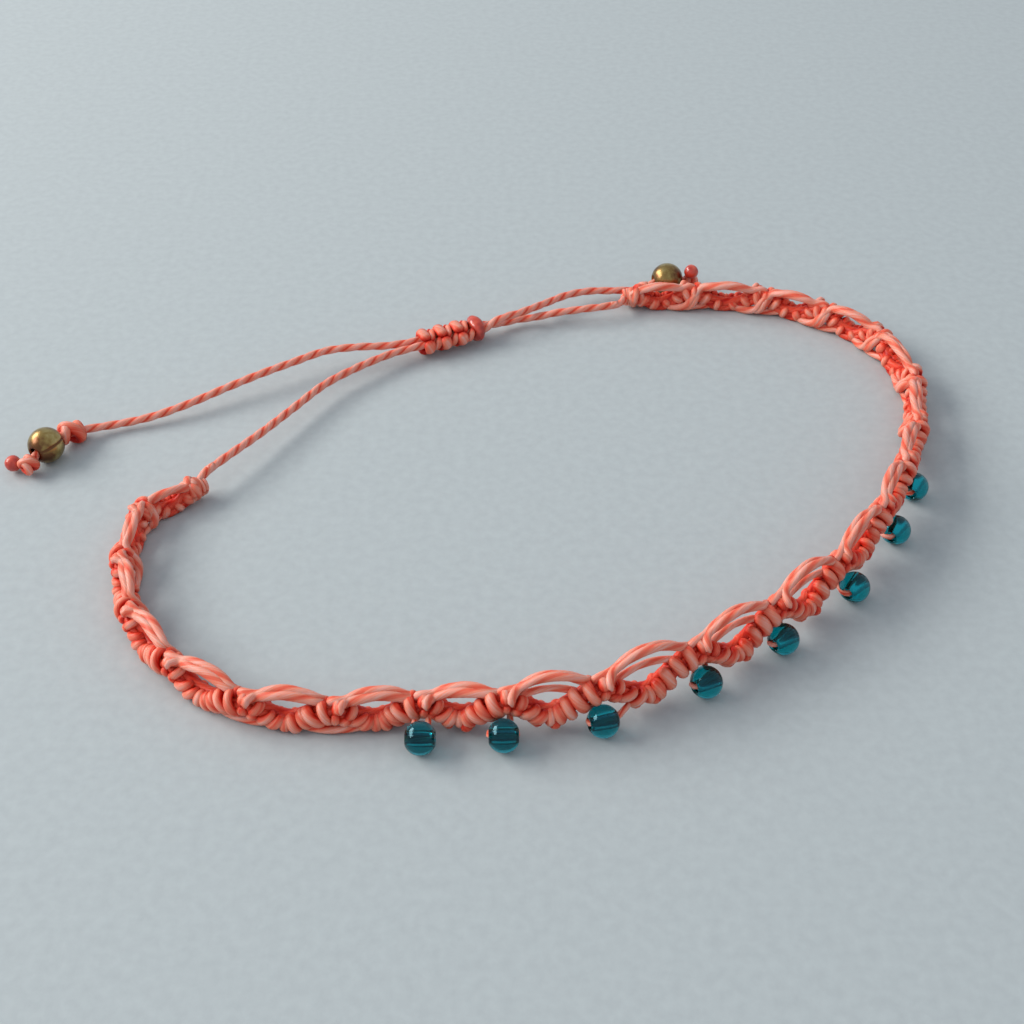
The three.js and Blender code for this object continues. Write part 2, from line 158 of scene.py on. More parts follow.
# An arch counts as ever taller from this height on, over this range
LOW_ARCH = 3.4 * MM
ARCH_RANGE = 2.6 * MM

# The hitches of one unit, by their place from one pinch to the next: the angles between which
# each one shows (0 faces outwards, 90 upwards), its slant and how far it stands out in millimetres.
# The hanging ones show from below, and the inner ones from the middle of the loop.
HITCHES = (
    (0.03, 25, 165, 0.10, 0.14),
    (0.05, -135, 30, 0.15, 0.06),
    (0.15, -5, 150, 0.35, 0.00),
    (0.18, -130, 15, 0.45, 0.06),
    (0.28, -125, 125, 0.55, 0.02),
    (0.38, -135, 110, 0.45, 0.12),
    (0.49, -130, 120, 0.10, 0.04),
    (0.59, -135, 130, -0.20, 0.12),
    (0.70, -125, 145, -0.35, 0.04),
    (0.81, -130, 155, -0.40, 0.10),
    (0.92, -130, 165, -0.25, 0.16),
)
HANGING_HITCHES = (
    (0.40, -165, -5, 0.35, 0.30),
    (0.55, -160, 10, -0.05, 0.34),
)
INNER_HITCHES = (
    (0.06, 100, 255, 0.10, 0.34),
    (0.22, 120, 260, 0.35, 0.20),
    (0.40, 130, 260, 0.20, 0.24),
    (0.60, 125, 260, -0.25, 0.20),
    (0.78, 120, 260, -0.40, 0.24),
    (0.94, 100, 255, -0.10, 0.36),
)

# The cord of the hitches, how much painted shade darkens its inner side, and how flat it is pressed
HITCH_CORD = 1.08 * MM
HITCH_CROWN = 0.9
HITCH_FLATNESS = 0.9

# How far a hitch reaches from the core's middle, in millimetres: the least, how much more at a
# pinch, how much more where the core rises, and how much more again where it rises to a tall arch
LEAST_REACH = 0.98
PINCH_REACH = 0.22
RISING_REACH = 0.12
TALL_REACH = 0.3

# How much thicker, as a share, and how much more slanting, in millimetres, a hitch is there
TALL_SWELL = 0.2
TALL_SLANT = 0.65

# A hitch's ends sink into the core: degrees between rings, the share of its length at each end,
# how far in it goes, its size there, its lowest height as a share of its radius, and the share
# of painted light left at its very ends, which get painted shade
HITCH_STEP = 13
HITCH_END = 0.3
HITCH_SINK = 0.45
HITCH_END_SIZE = 0.42
HITCH_LOWEST = 0.75
END_SHADE = 0.25

# How the hitches differ: place as a share of a unit, size as a share, angle in degrees, and the
# others in millimetres
HITCH_VARIETY = {
    "place": (-0.008, 0.008),
    "size": (0.9, 1.1),
    "proud": (-0.05, 0.08),
    "slant": (-0.12, 0.12),
    "angle": (-8, 8),
    "sideways": (-0.06, 0.06),
}

# The cords inside the wave: millimetres outwards and upwards of the core's middle, and size. They
# lie in the shade, so they get painted shade all over, and stop just before the band's ends.
CARRIERS = ((-0.45, 0.32, 1.35), (-0.5, -0.4, 1.35), (0.2, 0.0, 1.2))
CARRIER_SHADE = 0.62
CARRIER_END = 0.02

# The two cords of an arch: whether it is the front one, and how far its top stands above and
# outside the arch's line, in millimetres. In a low unit the two tops change places.
ARCH_CORDS = ((True, 0.12, -0.4), (False, -0.12, -1.0))
LOW_ARCH_RISE = -0.7
LOW_ARCH_CORD = 1.12
TALL_ARCH_CORD = 0.98

# The line of an arch: where it begins and ends in its unit, the part of it that is curved, how
# full the curve is, how far its feet stand inwards and above the core's middle, how far below the
# arch's height its middle runs, and how much of the band's lean it follows inwards
ARCH_SPAN = (0.05, 0.95)
ARCH_CURVED = (0.12, 0.88)
ARCH_FULLNESS = 0.8
ARCH_FOOT_INWARDS = 0.3 * MM
ARCH_FOOT = 0.35 * MM
ARCH_DEPTH = 0.55 * MM
ARCH_LEAN = 0.4

# Places before and after an arch: units past its pinch, then millimetres outwards and upwards,
# from the core's middle at the left pinch, at the right pinch, or partly and then wholly from the
# lowest point there. The back cord runs on a little farther along.
FRONT_START = ((0.1, 0.9, 0.5), (0.09, 0.55, 0.98))
BACK_START = ((-0.06, -0.6, 0.3), (-0.01, -0.4, 0.9))
ARCH_END = ((0.985, -0.75, 0.25), (1.02, -0.6, -0.3))
ARCH_BEND = ((0.93, -1.35, 0.5),)
ARCH_RUN_ON = ((0.99, -1.35, 1.0), (1.12, -1.1, 0.55))
BACK_RUN_ON = ((1.42, -0.5, 0.55),)
BACK_SHIFT = 0.06
BEND_SHARE = 0.6

# The arch inside a tall unit: where it begins and ends, the heights of its feet and its top as
# shares of the arch, how far inwards it stands, the size of its cord, and where its cord starts
# and ends: units past the pinch, then millimetres outwards and upwards of its feet
INNER_SPAN = (0.13, 0.87)
INNER_FOOT = 0.45
INNER_TOP = 0.62
INNER_ARCH_OUT = -0.6 * MM
INNER_ARCH_CORD = 0.82
INNER_START = ((0.12, -0.2, -0.4),)
INNER_END = ((0.88, -0.3, -0.4),)

# The strand under a pinch: half its length as a share of a unit, and how far its ends are lifted
UNDER_REACH = 0.42
UNDER_LIFT = 0.5 * MM

# Middle lines of the two pull cords, from the band's end to the free end, in metres
LEFT_CORD_ROUTE = np.array([
    (-0.0365, 0.0003, 0.0026),
    (-0.0346, 0.0031, 0.0025),
    (-0.0317, 0.0075, 0.0022),
    (-0.0286, 0.0125, 0.0020),
    (-0.0254, 0.0174, 0.0019),
    (-0.0218, 0.0210, 0.0018),
    (-0.0181, 0.0239, 0.0017),
    (-0.0153, 0.0253, 0.0017),
    (-0.0121, 0.0268, 0.0017),
    (-0.0094, 0.0281, 0.0017),
    (-0.0070, 0.0292, 0.0018),
    (-0.0056, 0.0301, 0.0024),
    (-0.0042, 0.0309, 0.0025),
    (-0.0029, 0.0317, 0.0024),
    (-0.0015, 0.0328, 0.0023),
    (0.0006, 0.0349, 0.0019),
    (0.0034, 0.0371, 0.0017),
    (0.0062, 0.0383, 0.0015),
    (0.0094, 0.0389, 0.0012),
    (0.0124, 0.0394, 0.0011),
    (0.0162, 0.04045, 0.0020),
    (0.0195, 0.0408, 0.0012),
])
RIGHT_CORD_ROUTE = np.array([
    (0.0095, 0.0347, 0.0018),
    (0.0075, 0.0341, 0.0018),
    (0.0056, 0.0337, 0.0018),
    (0.0037, 0.0334, 0.0017),
    (0.0019, 0.0331, 0.0016),
    (0.0002, 0.0329, 0.0013),
    (-0.0015, 0.0328, 0.0010),
    (-0.0029, 0.0325, 0.0010),
    (-0.0044, 0.0319, 0.0010),
    (-0.0059, 0.0311, 0.0012),
    (-0.0076, 0.0304, 0.0016),
    (-0.0099, 0.0292, 0.0017),
    (-0.0126, 0.0280, 0.0017),
    (-0.0159, 0.0264, 0.0017),
    (-0.0188, 0.0253, 0.0019),
    (-0.0221, 0.0246, 0.0022),
    (-0.0259, 0.0236, 0.0023),
    (-0.0295, 0.0213, 0.0023),
    (-0.0331, 0.0190, 0.0022),
    (-0.0366, 0.0168, 0.0019),
    (-0.0415, 0.0137, 0.0014),
    (-0.0454, 0.0119, 0.0010),
    (-0.0488, 0.0108, 0.0009),
    (-0.0516, 0.0097, 0.0011),
    (-0.0535, 0.0083, 0.0015),
    (-0.0553, 0.0054, 0.0020),
    (-0.0568, 0.0025, 0.0013),
])

# The sliding knot. Its heading is in radians.
SLIDER_MIDDLE = MM * np.array([-12.35, 27.4, 1.7])
SLIDER_HEADING = 0.445
SLIDER_LENGTH = 6.8 * MM
SLIDER_WIDTH = 3.9 * MM
SLIDER_HEIGHT = 3.1 * MM
SQUARE_KNOTS = 3
SLIDER_AXIS = np.array([math.cos(SLIDER_HEADING), math.sin(SLIDER_HEADING), 0.0])
MELTED_BALL = 2.1 * MM
BALL_WIDTH = SLIDER_WIDTH * 0.92
BALL_HEIGHT = SLIDER_HEIGHT * 0.98
BALL_GAP = 0.2 * MM

# Its turns, two in each row of each square knot: place in pitches, first angle and span in degrees,
# then slant, radius and depth in millimetres. Every second row stands a little farther along, in
# millimetres. A turn tucks in at both ends, over a share of its length: its size there, and its
# distance from the middle.
SLIDER_ROWS = 4
SLIDER_TURNS = ((0.0, 51, 84, 0.1, 0.74, 0.0), (0.5, 40, 106, -0.4, 0.4, 0.12))
ROW_SHIFTS = (-0.1, 0.18)
SLIDER_OVERHANG = 0.15
SLIDER_GROOVE = 0.9
SLIDER_FLATNESS = 0.7
SLIDER_EDGE = 0.5 * MM
TUCK_LENGTH = 0.25
TUCK_SIZE = 0.55
TUCK_DEPTH = 0.8

# Beads: how round their rims are, the glass beads' length as a share, and how many steps round
GLASS_RIM = 0.16 * MM
GLASS_STRETCH = 0.97
GLASS_STEPS = 48
BRONZE_RIM = 0.14 * MM
BRONZE_STEPS = 120

# The seam of a bronze bead: its angle in degrees, its depth as a share of the radius, and its half
# width in radians
SEAM_ANGLE = 155
SEAM_DEPTH = 0.05
SEAM_WIDTH = 0.06

# Turns round each end of the band: distance beyond the end and lean in millimetres, the angle of
# the lean in radians, radius of the turn in millimetres and size of the cord
END_TURNS = (
    (-1.1, 0.25, 0.5, 0.85, 1.05),
    (-0.2, 0.2, 2.2, 0.85, 1.05),
    (0.35, 0.12, 1.2, 0.85, 0.62),
    (0.75, 0.12, 1.2, 0.8, 0.62),
)

# The rounded stub inside them, in millimetres: its height, where it begins and ends, its radius
STUB_HEIGHT = 1.5
STUB_SPAN = (-1.5, 1.25)
STUB_RADIUS = 0.75
STUB_GROOVE = 0.92
STUB_PHASE = 0.5

# The cord wrapped over the right end, and the hidden ends of the pull cords: share of a unit past
# the end, then distance outwards and height in millimetres
RIGHT_END_WRAP = (
    (0.02, 0.2, 3.0),
    (0.1, -0.6, 2.9),
    (0.13, -1.1, 2.1),
    (0.13, -1.2, 1.2),
    (0.06, -1.1, 0.7),
    (-0.1, -1.0, 0.7),
    (-0.25, -0.9, 0.9),
)
LEFT_LEAD = ((-0.03, 0.1, 2.0), (0.1, 0.0, 1.5))
RIGHT_LEAD = ((0.02, -0.6, 1.6), (-0.15, -0.4, 1.6))

# What is on each free end, by its distance back from the cord's end. A knot's length and width
# and the radius of its cord follow. The melted tips point as the cord does just before its end.
LEFT_BEAD_KNOT = MM * np.array([7.3, 3.3, 2.9, 0.68])
REAR_BEAD_KNOT = MM * np.array([6.9, 2.0, 1.6, 0.4])
BRONZE_BEAD_BACK = 3.5 * MM
END_KNOT = MM * np.array([0.4, 2.1, 2.3, 0.52])
TIP_BACK = 0.3 * MM
LEFT_TIP = MM * np.array([-58.55, 3.4, 1.1])
REAR_TIP = MM * np.array([19.1, 40.0, 3.3])

# The turns of such a knot: place and lean as shares of its half length, the angle of the lean in
# radians, and the sizes of the turn and of its cord as shares
KNOT_TURNS = (
    (-0.9, 0.25, 2.0, 0.8, 0.95),
    (0.0, 0.75, 0.6, 1.0, 1.0),
    (0.9, 0.35, 3.6, 0.75, 0.95),
)

rng = np.random.default_rng(7)


# Lines

def unit(v):
    return v / np.maximum(np.linalg.norm(v, axis=-1, keepdims=True), TINY)


def spline(points, at, power=0.5):
    """A smooth line through points, where at counts them; power 0 spaces the points evenly."""
    points = np.asarray(points, float)
    at = np.asarray(at, float)
    ends = (2 * points[:1] - points[1:2], 2 * points[-1:] - points[-2:-1])
    p = np.vstack([ends[0], points, ends[1]])
    i = np.clip(np.floor(at).astype(int), 0, len(points) - 2)
    t = (at - i)[:, None]
    a, b, c, d = p[i], p[i + 1], p[i + 2], p[i + 3]
    before, within, after = (
        np.linalg.norm(q, axis=1, keepdims=True) ** power for q in (b - a, c - b, d - c)
    )
    start = ((b - a) / before - (c - a) / (before + within)) * within + c - b
    end = ((d - c) / after - (d - b) / (within + after)) * within + c - b
    return (
        b
        + start * t
        + (3 * (c - b) - 2 * start - end) * t**2
        + (2 * (b - c) + start + end) * t**3
    )


def distances(line):
    """How far along the line each of its points lies."""
    steps = np.linalg.norm(np.diff(line, axis=0), axis=1)
    return np.concatenate([[0], np.cumsum(steps)])


def points_at(line, at):
    """The points of a line at distances along it."""
    along = distances(line)
    return np.stack([np.interp(at, along, line[:, k]) for k in range(3)], axis=1)


def smooth(points, step, power=0.5):
    """Points at about step along a smooth line through a few points."""
    fine = 24 * len(points)
    line = spline(points, np.linspace(0, len(points) - 1, fine), power)
    length = distances(line)[-1]
    count = max(4, round(length / step) + 1)
    return points_at(line, np.linspace(0, length, count))


def across(axis):
    """The level direction at right angles to an axis, and the one at right angles to both."""
    side = unit(np.cross(axis, UP))
    return side, np.cross(side, axis)


# The band's own coordinates: u counts the pinches from the left end, out is the distance
# outwards from the middle of the loop, z the height

def middle_at(u):
    return spline(PINCHES[:, :3], np.clip(np.atleast_1d(u), 0, UNITS), power=0)


def along_at(u):
    step = 0.001
    ahead = middle_at(np.clip(np.asarray(u) + step, 0, UNITS))
    behind = middle_at(np.clip(np.asarray(u) - step, 0, UNITS))
    flat = (ahead - behind) * (1, 1, 0)
    return unit(flat)


def outward_at(u):
    along = along_at(u)
    return np.stack([along[:, 1], -along[:, 0], np.zeros(len(along))], axis=1)


def lift_at(u):
    return middle_at(u)[:, 2]


def arch_at(u):
    return np.interp(u, np.arange(UNITS) + 0.5, ARCHES[:UNITS])


def pinch_share(u):
    return 0.5 + 0.5 * np.cos(TURN * np.asarray(u))


def core_height(u):
    climb = CLIMB_SHARE * (arch_at(u) - LOWEST_ARCH)
    return lift_at(u) + CORE_HALF_HEIGHT_LOW - SOLE + climb * pinch_share(u)


def band_points(u, out, z):
    """Points given in the band's own coordinates, each a number or an array."""
    u, out, z = np.broadcast_arrays(np.atleast_1d(u), out, z)
    base = middle_at(u)
    share = (z - base[:, 2]) / arch_at(u) - 0.5
    outside = out + np.interp(u, np.arange(UNITS + 1), LEANS) * share
    placed = base + outward_at(u) * outside[:, None]
    placed[:, 2] = z
    return placed


# Cord meshes

def frames_along(line, side, closed):
    """Unit tangents, and side directions that turn with the line and don't twist about it."""
    ahead = np.roll(line, -1, axis=0) - line
    behind = line - np.roll(line, 1, axis=0)
    if not closed:
        ahead[-1] = behind[-1]
        behind[0] = ahead[0]
    tangents = unit(unit(ahead) + unit(behind))
    sides = np.empty_like(line)
    current = np.asarray(side, float)
    for i, tangent in enumerate(tangents):
        current = current - tangent * (current @ tangent)
        current = current / max(math.sqrt(current @ current), TINY)
        sides[i] = current
    return tangents, sides


def cord_tube(
    line,
    radius,
    side,
    phase,
    groove=PLY_GROOVE,
    sides=14,
    closed=False,
    crown=0.0,
    flat=1.0,
    pitch=PLY_PITCH,
):
    """A two-ply cord along a line: its vertices, where they lie in the cord, and its painted light,
    which is painted shade on its inner side and in the groove between its plies. crown is how much
    painted shade darkens its inner side, from 0 to 1, and flat squeezes it across the side direction."""
    tangents, side_ways = frames_along(line, side, closed)
    up_ways = np.cross(side_ways, tangents)
    along = distances(line)
    radius = np.broadcast_to(radius, len(line))
    column_angle = TURN * np.arange(sides) / sides
    ply = groove + (1 - groove) * np.abs(np.cos(column_angle))
    angle = column_angle[None, :] + phase + (TURN * along / pitch)[:, None]
    reach = radius[:, None] * ply[None, :]
    sideward = reach * np.cos(angle)
    outward = reach * np.sin(angle)
    vertices = (
        line[:, None, :]
        + sideward[..., None] * side_ways[:, None, :]
        + flat * outward[..., None] * up_ways[:, None, :]
    )
    vertices[..., 2] = np.maximum(vertices[..., 2], FLOOR_CLEARANCE)
    # Painted shade: darker on the inner side and in the groove between the plies
    facing = 0.5 + 0.5 * np.sin(angle)
    painted_light = (1 - crown) + crown * facing
    in_groove = (1 - (ply[None, :] - groove) / (1 - groove)) ** 2
    painted_light = painted_light * (1 - GROOVE_SHADE * (1 - groove) * in_groove)
    places = (
        ply * np.cos(column_angle),
        ply * np.sin(column_angle),
        along[:, None] / MM + FIBRE_SHIFT * phase,
    )
    grain = np.stack([np.broadcast_to(p, angle.shape) for p in places], axis=-1)
    return vertices, grain, painted_light, closed


def ring_faces(rings, sides, closed):
    """Faces between rings of vertices. If closed, the last ring joins up with the first."""
    ring = np.arange(rings if closed else rings - 1)[:, None]
    corner = np.arange(sides)[None, :]
    following = (ring + 1) % rings
    beside = (corner + 1) % sides
    quads = np.stack(
        [
            ring * sides + corner,
            following * sides + corner,
            following * sides + beside,
            ring * sides + beside,
        ],
        axis=-1,
    ).reshape(-1, 4)
    return [tuple(q) for q in quads.tolist()]


def tube_faces(rings, sides, closed):
    faces = ring_faces(rings, sides, closed)
    if not closed:
        faces.append(tuple(range(sides)))
        faces.append(tuple(range(rings * sides - 1, (rings - 1) * sides - 1, -1)))
    return faces


def mesh_piece(name, vertices, faces, material, attributes=()):
    mesh = bpy.data.meshes.new(name)
    mesh.from_pydata(vertices, [], faces)
    for key, kind, values in attributes:
        layer = mesh.attributes.new(key, kind, "POINT")
        field = "vector" if kind == "FLOAT_VECTOR" else "value"
        layer.data.foreach_set(field, np.asarray(values, np.float32).ravel())
    mesh.polygons.foreach_set("use_smooth", [True] * len(mesh.polygons))
    mesh.materials.append(material)
    mesh.update()
    piece = bpy.data.objects.new(name, mesh)
    bpy.context.scene.collection.objects.link(piece)
    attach(piece, "root")
    return piece


def cord_piece(name, tubes):
    """One object made of many cord tubes."""
    vertices, faces, grains, painted_lights = [], [], [], []
    for points, grain, painted_light, closed in tubes:
        base = sum(len(v) for v in vertices)
        rings, sides = points.shape[:2]
        vertices.append(points.reshape(-1, 3))
        grains.append(grain.reshape(-1, 3))
        painted_lights.append(painted_light.ravel())
        faces += [tuple(base + i for i in f) for f in tube_faces(rings, sides, closed)]
    # Each vertex keeps where it lies in the cord, for its fibres, and its painted light
    layers = [
        ("grain", "FLOAT_VECTOR", np.vstack(grains)),
        ("painted_light", "FLOAT", np.concatenate(painted_lights)),
    ]
    return mesh_piece(name, np.vstack(vertices), faces, CORAL, layers)


# Materials

def new_material(name):
    material = bpy.data.materials.new(name)
    material.use_nodes = True
    nodes = material.node_tree.nodes
    return material, nodes, material.node_tree.links, nodes["Principled BSDF"]


def add_node(nodes, kind, **settings):
    node = nodes.new(kind)
    for key, value in settings.items():
        if key in node.inputs:
            node.inputs[key].default_value = value
        else:
            setattr(node, key, value)
    return node


def colour_by(nodes, links, shader, value, stops):
    """Takes the shader's colour from a ramp, by a value."""
    ramp = nodes.new("ShaderNodeValToRGB")
    elements = ramp.color_ramp.elements
    while len(elements) < len(stops):
        elements.new(0.5)
    for element, (place, colour) in zip(elements, stops):
        element.position = place
        element.color = (*colour, 1)
    links.new(value, ramp.inputs["Fac"])
    links.new(ramp.outputs["Color"], shader.inputs["Base Color"])


def add_noise(nodes, links, **settings):
    """Noise that stays in its place on the object."""
    place = add_node(nodes, "ShaderNodeTexCoord")
    noise = add_node(nodes, "ShaderNodeTexNoise", **settings)
    links.new(place.outputs["Object"], noise.inputs["Vector"])
    return noise


def add_bump(nodes, links, shader, source, strength, distance):
    bump = add_node(nodes, "ShaderNodeBump", Strength=strength, Distance=distance)
    links.new(source.outputs["Fac"], bump.inputs["Height"])
    links.new(bump.outputs["Normal"], shader.inputs["Normal"])


def let_light_in(shader):
    """Light goes a little way into waxed or melted cord and comes out redder."""
    shader.inputs["Subsurface Weight"].default_value = 0.2
    shader.inputs["Subsurface Radius"].default_value = (1.0, 0.25, 0.12)
    shader.inputs["Subsurface Scale"].default_value = 0.0006


def cord_material():
    """Waxed coral cord with fibres, coloured by painted light: painted shade, deep red, in the
    creases, and a pale painted highlight on the crowns.
    """
    material, nodes, links, shader = new_material("coral_cord")
    grain = add_node(nodes, "ShaderNodeAttribute", attribute_name="grain")
    stretch = add_node(nodes, "ShaderNodeMapping", Scale=(3.5, 3.5, 0.5))
    links.new(grain.outputs["Vector"], stretch.inputs["Vector"])
    fibres = add_node(nodes, "ShaderNodeTexNoise", Scale=1.0, Detail=3.0, Roughness=0.6)
    links.new(stretch.outputs["Vector"], fibres.inputs["Vector"])
    # Painted light of each vertex: low in creases, grooves and on inner sides, high on the crowns
    painted_light = add_node(nodes, "ShaderNodeAttribute", attribute_name="painted_light")
    fibre_share, painted_light_share, darkening = 0.5, 0.95, -0.46
    mixed = add_node(nodes, "ShaderNodeMath", operation="MULTIPLY_ADD")
    mixed.inputs[1].default_value = fibre_share
    links.new(fibres.outputs["Fac"], mixed.inputs[0])
    height = add_node(nodes, "ShaderNodeMath", operation="MULTIPLY_ADD")
    height.inputs[1].default_value = painted_light_share
    height.inputs[2].default_value = darkening
    links.new(painted_light.outputs["Fac"], height.inputs[0])
    links.new(height.outputs["Value"], mixed.inputs[2])
    # The ramp runs from painted shade, deep red, to a pale painted highlight; the fibres vary it
    colour_by(
        nodes,
        links,
        shader,
        mixed.outputs["Value"],
        [
            (0.1, (0.48, 0.008, 0.003)),
            (0.35, (0.73, 0.06, 0.027)),
            (0.65, (0.82, 0.23, 0.145)),
            (0.85, (0.81, 0.45, 0.38)),
            (1.0, (0.79, 0.62, 0.58)),
        ],
    )
    add_bump(nodes, links, shader, fibres, 0.5, 0.00006)
    shader.inputs["Roughness"].default_value = 0.38
    shader.inputs["Specular IOR Level"].default_value = 0.22
    let_light_in(shader)
    return material


def melted_material():
    """Cord melted to a smooth, shiny drop."""
    material, nodes, links, shader = new_material("melted_cord")
    clouds = add_noise(nodes, links, Scale=900.0, Detail=3.0)
    stops = [(0.35, (0.36, 0.02, 0.01)), (0.5, (0.52, 0.045, 0.022)), (0.7, (0.66, 0.11, 0.06))]
    colour_by(nodes, links, shader, clouds.outputs["Fac"], stops)
    add_bump(nodes, links, shader, clouds, 0.3, 0.0001)
    shader.inputs["Roughness"].default_value = 0.28
    shader.inputs["Coat Weight"].default_value = 0.4
    shader.inputs["Coat Roughness"].default_value = 0.12
    let_light_in(shader)
    return material


def glass_material():
    """Clear teal glass, polished, with a faint unevenness of its surface."""
    material, nodes, links, shader = new_material("teal_glass")
    ripples = add_noise(nodes, links, Scale=500.0, Detail=1.0)
    stops = [(0.3, (0.0, 0.27, 0.35)), (0.7, (0.0, 0.34, 0.40))]
    colour_by(nodes, links, shader, ripples.outputs["Fac"], stops)
    add_bump(nodes, links, shader, ripples, 0.15, 0.0002)
    shader.inputs["Transmission Weight"].default_value = 1.0
    shader.inputs["Roughness"].default_value = 0.02
    shader.inputs["IOR"].default_value = 1.5
    shader.inputs["Specular Tint"].default_value = (0.4, 0.85, 1.0, 1)
    return material


def bronze_material():
    """Antique bronze: olive gold on the worn crowns, brown patina in patches and in the seam."""
    material, nodes, links, shader = new_material("antique_bronze")
    patina = add_noise(nodes, links, Scale=420.0, Detail=4.0, Roughness=0.6)
    seam = add_node(nodes, "ShaderNodeAttribute", attribute_name="seam")
    seam_patina = -0.6
    worn = add_node(nodes, "ShaderNodeMath", operation="MULTIPLY_ADD")
    worn.inputs[1].default_value = seam_patina
    links.new(seam.outputs["Fac"], worn.inputs[0])
    links.new(patina.outputs["Fac"], worn.inputs[2])
    stops = [(0.35, (0.15, 0.06, 0.022)), (0.5, (0.33, 0.22, 0.07)), (0.68, (0.55, 0.45, 0.2))]
    colour_by(nodes, links, shader, worn.outputs["Value"], stops)
    roughness = add_node(nodes, "ShaderNodeMapRange")
    roughness.inputs["To Min"].default_value = 0.42
    roughness.inputs["To Max"].default_value = 0.2
    links.new(patina.outputs["Fac"], roughness.inputs["Value"])
    links.new(roughness.outputs["Result"], shader.inputs["Roughness"])
    scratches = add_noise(nodes, links, Scale=3000.0, Detail=2.0)
    add_bump(nodes, links, shader, scratches, 0.12, 0.00005)
    shader.inputs["Metallic"].default_value = 1.0
    shader.inputs["Coat Weight"].default_value = 0.3
    shader.inputs["Coat Roughness"].default_value = 0.2
    return material


def floor_material():
    """Pale matt surface with a faint grain."""
    material, nodes, links, shader = new_material("floor_surface")
    grain = add_noise(nodes, links, Scale=900.0, Detail=4.0)
    stops = [(0.3, (0.414, 0.451, 0.461)), (0.7, (0.448, 0.49, 0.498))]
    colour_by(nodes, links, shader, grain.outputs["Fac"], stops)
    add_bump(nodes, links, shader, grain, 0.2, 0.0001)
    shader.inputs["Roughness"].default_value = 0.9
    return material


CORAL = cord_material()
MELTED = melted_material()
GLASS = glass_material()
BRONZE = bronze_material()


# Camera and the two pull cords

def add_camera():
    data = bpy.data.cameras.new("camera")
    data.sensor_width = 36.0
    data.lens = LENS
    data.clip_start = 0.005
    camera = bpy.data.objects.new("camera", data)
    camera.location = CAMERA_PLACE
    camera.rotation_euler = (math.radians(CAMERA_TILT), 0, 0)
    bpy.context.scene.collection.objects.link(camera)
    bpy.context.scene.camera = camera


def pull_cord_tube(line):
    radius = CORD / 2 * PULL_CORD_SWELL
    return cord_tube(line, radius, UP, PULL_CORD_PHASE, sides=20, pitch=PULL_CORD_PITCH)


def pull_cord(name, route):
    """The visible cord, and the points of its middle line."""
    line = smooth(route, PULL_CORD_STEP)
    return cord_piece(name, [pull_cord_tube(line)]), line


add_camera()
left_cord, left_line = pull_cord("left_pull_cord_twisted", LEFT_CORD_ROUTE)
right_cord, right_line = pull_cord("right_pull_cord_twisted", RIGHT_CORD_ROUTE)


def place_back(line, back):
    """The point and direction of a cord's line at a distance back from its end."""
    step = 0.1 * MM
    at = [max(back - step, 0), back, max(back, step) + step]
    near, point, far = points_at(line[::-1], at)
    return point, unit(near - far)


# The band

def rounded(line, radius):
    """Radii along a line that close both ends like a ball."""
    cap, bluntness = 1.2 * radius, 0.09
    along = distances(line)
    near_end = np.minimum(along, along[-1] - along)
    share = np.clip(near_end / cap, 0, 1)
    return radius * np.sqrt(np.maximum(1 - (1 - share) ** 2, bluntness))


def band_strand(rows, radius=CORD / 2, sides=12):
    """A cord through rows of band coordinates."""
    u, out, z = (np.array(c, float) for c in zip(*rows))
    line = smooth(band_points(u, out, z), STRAND_STEP)
    side = outward_at(rows[0][0])[0]
    phase = rng.uniform(0, TURN)
    return cord_tube(line, rounded(line, radius), side, phase, sides=sides)


def core_frame(u):
    """The core's middle at u, with the directions along it, outwards and upwards."""
    step = 0.01
    near = [u - step, u, u + step]
    path = band_points(near, 0, core_height(near))
    tangent = unit(path[2] - path[0])
    outward = outward_at(u)[0]
    outward = unit(outward - tangent * (outward @ tangent))
    return path[1], tangent, outward, np.cross(outward, tangent)


def climb_shares(u):
    """How tall the unit at u is, and how steeply its core rises there, both from 0 to 1."""
    tall = float(np.clip((arch_at(u) - LOW_ARCH) / ARCH_RANGE, 0, 1))
    return tall, max(0.0, -math.sin(TURN * u))


def hitch_reach(u):
    """How far a hitch reaches from the core's middle: farther on the way up to a pinch."""
    tall, rising = climb_shares(u)
    more = (RISING_REACH + TALL_REACH * tall) * rising
    return (LEAST_REACH + PINCH_REACH * float(pinch_share(u)) + more) * MM


def leaning_turn(middle, axis, lean, swing, radius, cord_radius):
    """A closed turn of cord round an axis. It leans along the axis, most at the angle swing."""
    side, up = across(axis)
    angle = np.linspace(0, TURN, 30, endpoint=False)
    line = (
        middle
        + np.outer(radius * np.cos(angle), side)
        + np.outer(radius * np.sin(angle), up)
        + np.outer(lean * np.cos(angle - swing), axis)
    )
    return cord_tube(
        line, cord_radius, axis, swing, groove=TIED_GROOVE, closed=True, crown=TIED_CROWN
    )


def differ(what):
    """A random difference between one hitch and another."""
    return rng.uniform(*HITCH_VARIETY[what])


